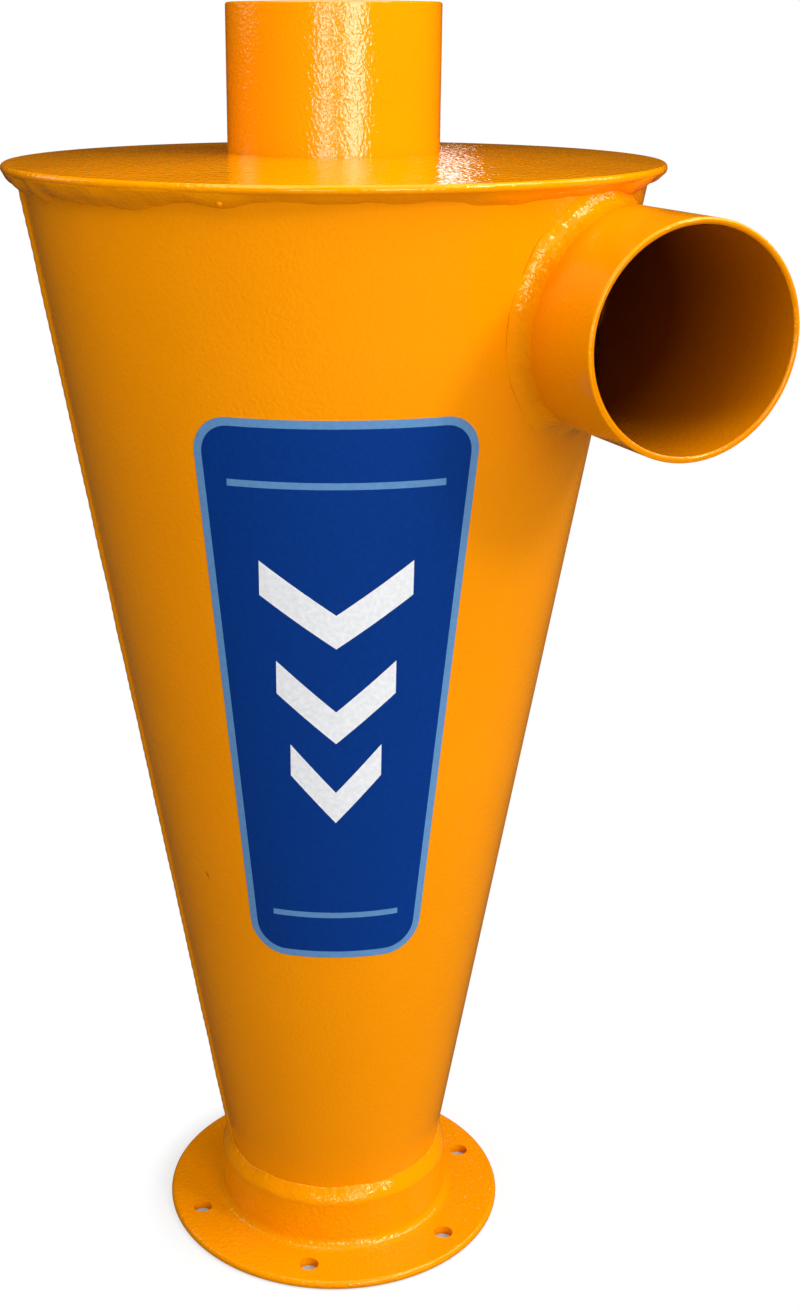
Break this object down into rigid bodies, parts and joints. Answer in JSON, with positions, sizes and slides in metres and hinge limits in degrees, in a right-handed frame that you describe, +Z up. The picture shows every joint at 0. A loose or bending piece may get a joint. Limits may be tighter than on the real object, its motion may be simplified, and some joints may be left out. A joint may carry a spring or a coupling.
{
  "type": "cyclone separator",
  "caption": "Small welded sheet-steel cyclone separator for a shop vacuum: cone with crowned lid, tangential inlet tube, centre outlet tube and drilled base flange.",
  "frame": {"origin": "centre of the base flange's underside, on the cone's axis", "axes": "+Z up along the cone's axis; the inlet tube points along -Y and lies on the +X side"},
  "size_m": [0.158, 0.176, 0.3253],
  "materials": {
    "powder_coat": "glossy yellow-orange powder coat with fine orange peel",
    "coated_weld": "glossy yellow-orange powder coat over uneven weld bead"
  },
  "bodies": {
    "root": {"base_flange": "powder_coat", "cone_shell": "powder_coat", "lid": "powder_coat", "outlet_tube": "powder_coat", "inlet_tube": "powder_coat", "neck_weld": "coated_weld", "cone_seam_weld": "coated_weld", "lid_weld": "coated_weld", "outlet_weld": "coated_weld", "inlet_weld": "coated_weld"}
  },
  "joints": []
}
